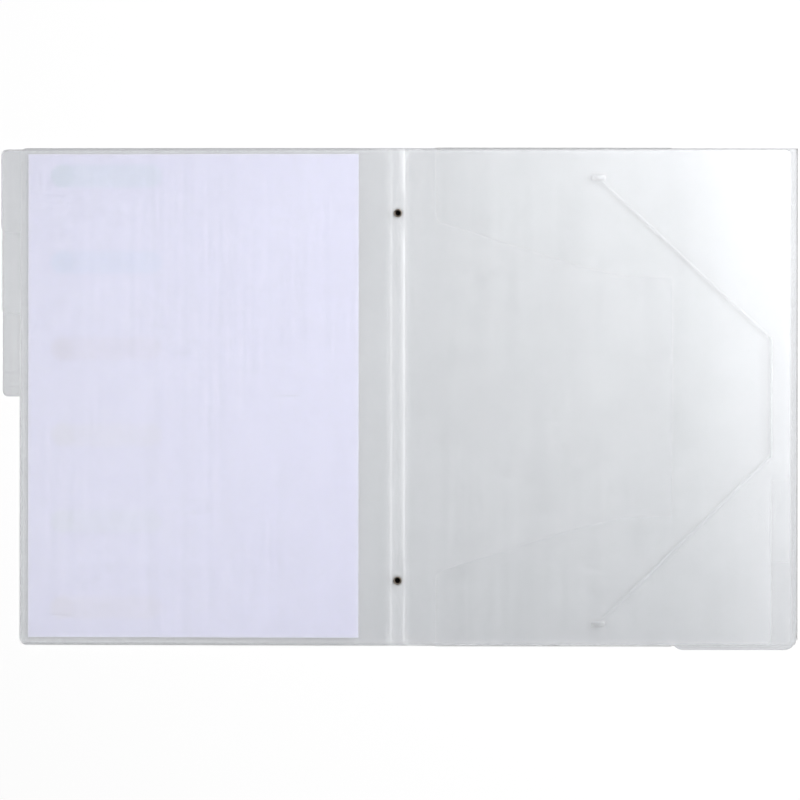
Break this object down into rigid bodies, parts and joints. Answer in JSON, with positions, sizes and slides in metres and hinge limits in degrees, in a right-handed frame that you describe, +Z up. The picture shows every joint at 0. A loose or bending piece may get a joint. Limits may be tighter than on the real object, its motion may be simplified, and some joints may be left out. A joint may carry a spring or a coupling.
{
  "type": "document sorter folder",
  "caption": "Translucent plastic sorter folder lying open, with stepped tab dividers riveted in its spine, three closing flaps and an elastic.",
  "frame": {"origin": "below the middle of the open folder, on the table it lies on", "axes": "+X to the back cover's fore edge, +Y to the top edge, +Z up from the table"},
  "size_m": [0.5128, 0.3234, 0.0095],
  "materials": {
    "cover_sheet": "frosted translucent polypropylene sheet, satin",
    "divider_sheet": "frosted translucent polypropylene sheet, satin",
    "index_paper": "uncoated white paper with a blue white tint",
    "rivet_metal": "dark nickel plating",
    "elastic_yarn": "covered round elastic, grey",
    "clip_steel": "bare steel strip"
  },
  "bodies": {
    "spine": {"spine_strip": "cover_sheet", "outer_sheet_binding": "divider_sheet", "middle_sheet_binding": "divider_sheet", "inner_sheet_binding": "divider_sheet", "top_rivet": "rivet_metal", "top_rivet_washer": "rivet_metal", "bottom_rivet": "rivet_metal", "bottom_rivet_washer": "rivet_metal"},
    "front_cover": {"front_cover": "cover_sheet"},
    "index_sheet": {"index_sheet": "index_paper"},
    "back_cover": {"back_cover": "cover_sheet", "elastic_cord": "elastic_yarn", "elastic_top_clip": "clip_steel", "elastic_bottom_clip": "clip_steel"},
    "divider_3_crease": {"divider_3_crease_band": "divider_sheet"},
    "divider_3": {"divider_3": "divider_sheet"},
    "divider_2_crease": {"divider_2_crease_band": "divider_sheet"},
    "divider_2": {"divider_2": "divider_sheet"},
    "divider_1_crease": {"divider_1_crease_band": "divider_sheet"},
    "divider_1": {"divider_1": "divider_sheet"},
    "divider_4_crease": {"divider_4_crease_band": "divider_sheet"},
    "divider_4": {"divider_4": "divider_sheet"},
    "divider_5_crease": {"divider_5_crease_band": "divider_sheet"},
    "divider_5": {"divider_5": "divider_sheet"},
    "divider_6_crease": {"divider_6_crease_band": "divider_sheet"},
    "divider_6": {"divider_6": "divider_sheet"},
    "fore_edge_gusset": {"fore_edge_gusset": "cover_sheet"},
    "fore_edge_flap": {"fore_edge_flap": "cover_sheet"},
    "top_gusset": {"top_gusset": "cover_sheet"},
    "top_flap": {"top_flap": "cover_sheet"},
    "bottom_gusset": {"bottom_gusset": "cover_sheet"},
    "bottom_flap": {"bottom_flap": "cover_sheet"}
  },
  "joints": [
    {"name": "front_cover_fold", "type": "hinge", "parent": "spine", "child": "front_cover", "pos_m": [-0.0075, 0, 0.0053], "axis": [0, 1, 0], "range_deg": [0, 88]},
    {"name": "back_cover_fold", "type": "hinge", "parent": "spine", "child": "back_cover", "pos_m": [0.0058, 0, 0.0053], "axis": [0, -1, 0], "range_deg": [0, 88]},
    {"name": "index_sheet_slide", "type": "slide", "parent": "front_cover", "child": "index_sheet", "axis": [0, 1, 0], "range_m": [0, 0.3]},
    {"name": "divider_3_lift", "type": "hinge", "parent": "spine", "child": "divider_3_crease", "pos_m": [-0.00525, 0, 0.00755], "axis": [0, 1, 0], "range_deg": [0, 88]},
    {"name": "divider_3_turn", "type": "hinge", "parent": "divider_3_crease", "child": "divider_3", "pos_m": [-0.00725, 0, 0.00751], "axis": [0, -1, 0], "range_deg": [-88, 0]},
    {"name": "divider_2_lift", "type": "hinge", "parent": "spine", "child": "divider_2_crease", "pos_m": [-0.00585, 0, 0.00695], "axis": [0, 1, 0], "range_deg": [0, 88]},
    {"name": "divider_2_turn", "type": "hinge", "parent": "divider_2_crease", "child": "divider_2", "pos_m": [-0.00785, 0, 0.00691], "axis": [0, -1, 0], "range_deg": [-85, 0]},
    {"name": "divider_1_lift", "type": "hinge", "parent": "spine", "child": "divider_1_crease", "pos_m": [-0.00645, 0, 0.00635], "axis": [0, 1, 0], "range_deg": [0, 88]},
    {"name": "divider_1_turn", "type": "hinge", "parent": "divider_1_crease", "child": "divider_1", "pos_m": [-0.00845, 0, 0.00631], "axis": [0, -1, 0], "range_deg": [-80, 0]},
    {"name": "divider_4_lift", "type": "hinge", "parent": "spine", "child": "divider_4_crease", "pos_m": [0.00355, 0, 0.00755], "axis": [0, -1, 0], "range_deg": [0, 88]},
    {"name": "divider_4_turn", "type": "hinge", "parent": "divider_4_crease", "child": "divider_4", "pos_m": [0.00555, 0, 0.00756], "axis": [0, 1, 0], "range_deg": [-88, 0]},
    {"name": "divider_5_lift", "type": "hinge", "parent": "spine", "child": "divider_5_crease", "pos_m": [0.00415, 0, 0.00695], "axis": [0, -1, 0], "range_deg": [0, 88]},
    {"name": "divider_5_turn", "type": "hinge", "parent": "divider_5_crease", "child": "divider_5", "pos_m": [0.00615, 0, 0.00696], "axis": [0, 1, 0], "range_deg": [-85, 0]},
    {"name": "divider_6_lift", "type": "hinge", "parent": "spine", "child": "divider_6_crease", "pos_m": [0.00475, 0, 0.00635], "axis": [0, -1, 0], "range_deg": [0, 88]},
    {"name": "divider_6_turn", "type": "hinge", "parent": "divider_6_crease", "child": "divider_6", "pos_m": [0.00675, 0, 0.00636], "axis": [0, 1, 0], "range_deg": [-80, 0]},
    {"name": "fore_edge_gusset_fold", "type": "hinge", "parent": "back_cover", "child": "fore_edge_gusset", "pos_m": [0.256, 0, 0.0053], "axis": [0, -1, 0], "range_deg": [0, 180]},
    {"name": "fore_edge_flap_fold", "type": "hinge", "parent": "fore_edge_gusset", "child": "fore_edge_flap", "pos_m": [0.256, 0, 0.0004], "axis": [0, -1, 0], "range_deg": [0, 180]},
    {"name": "top_gusset_fold", "type": "hinge", "parent": "back_cover", "child": "top_gusset", "pos_m": [0, 0.1613, 0.0053], "axis": [1, 0, 0], "range_deg": [0, 180]},
    {"name": "top_flap_fold", "type": "hinge", "parent": "top_gusset", "child": "top_flap", "pos_m": [0, 0.1613, 0.0004], "axis": [1, 0, 0], "range_deg": [0, 180]},
    {"name": "bottom_gusset_fold", "type": "hinge", "parent": "back_cover", "child": "bottom_gusset", "pos_m": [0, -0.1587, 0.0053], "axis": [-1, 0, 0], "range_deg": [0, 180]},
    {"name": "bottom_flap_fold", "type": "hinge", "parent": "bottom_gusset", "child": "bottom_flap", "pos_m": [0, -0.1587, 0.0004], "axis": [-1, 0, 0], "range_deg": [0, 180]}
  ],
  "couplings": [
    {"joint": "divider_3_lift", "follows": "front_cover_fold", "ratio": 1},
    {"joint": "divider_2_lift", "follows": "front_cover_fold", "ratio": 1},
    {"joint": "divider_2_turn", "follows": "divider_3_turn", "ratio": 0.9},
    {"joint": "divider_1_lift", "follows": "front_cover_fold", "ratio": 1},
    {"joint": "divider_1_turn", "follows": "divider_3_turn", "ratio": 0.8},
    {"joint": "divider_4_lift", "follows": "back_cover_fold", "ratio": 1},
    {"joint": "divider_5_lift", "follows": "back_cover_fold", "ratio": 1},
    {"joint": "divider_5_turn", "follows": "divider_4_turn", "ratio": 0.9},
    {"joint": "divider_6_lift", "follows": "back_cover_fold", "ratio": 1},
    {"joint": "divider_6_turn", "follows": "divider_4_turn", "ratio": 0.8},
    {"joint": "fore_edge_flap_fold", "follows": "fore_edge_gusset_fold", "ratio": 1},
    {"joint": "top_flap_fold", "follows": "top_gusset_fold", "ratio": 1},
    {"joint": "bottom_flap_fold", "follows": "bottom_gusset_fold", "ratio": 1}
  ]
}
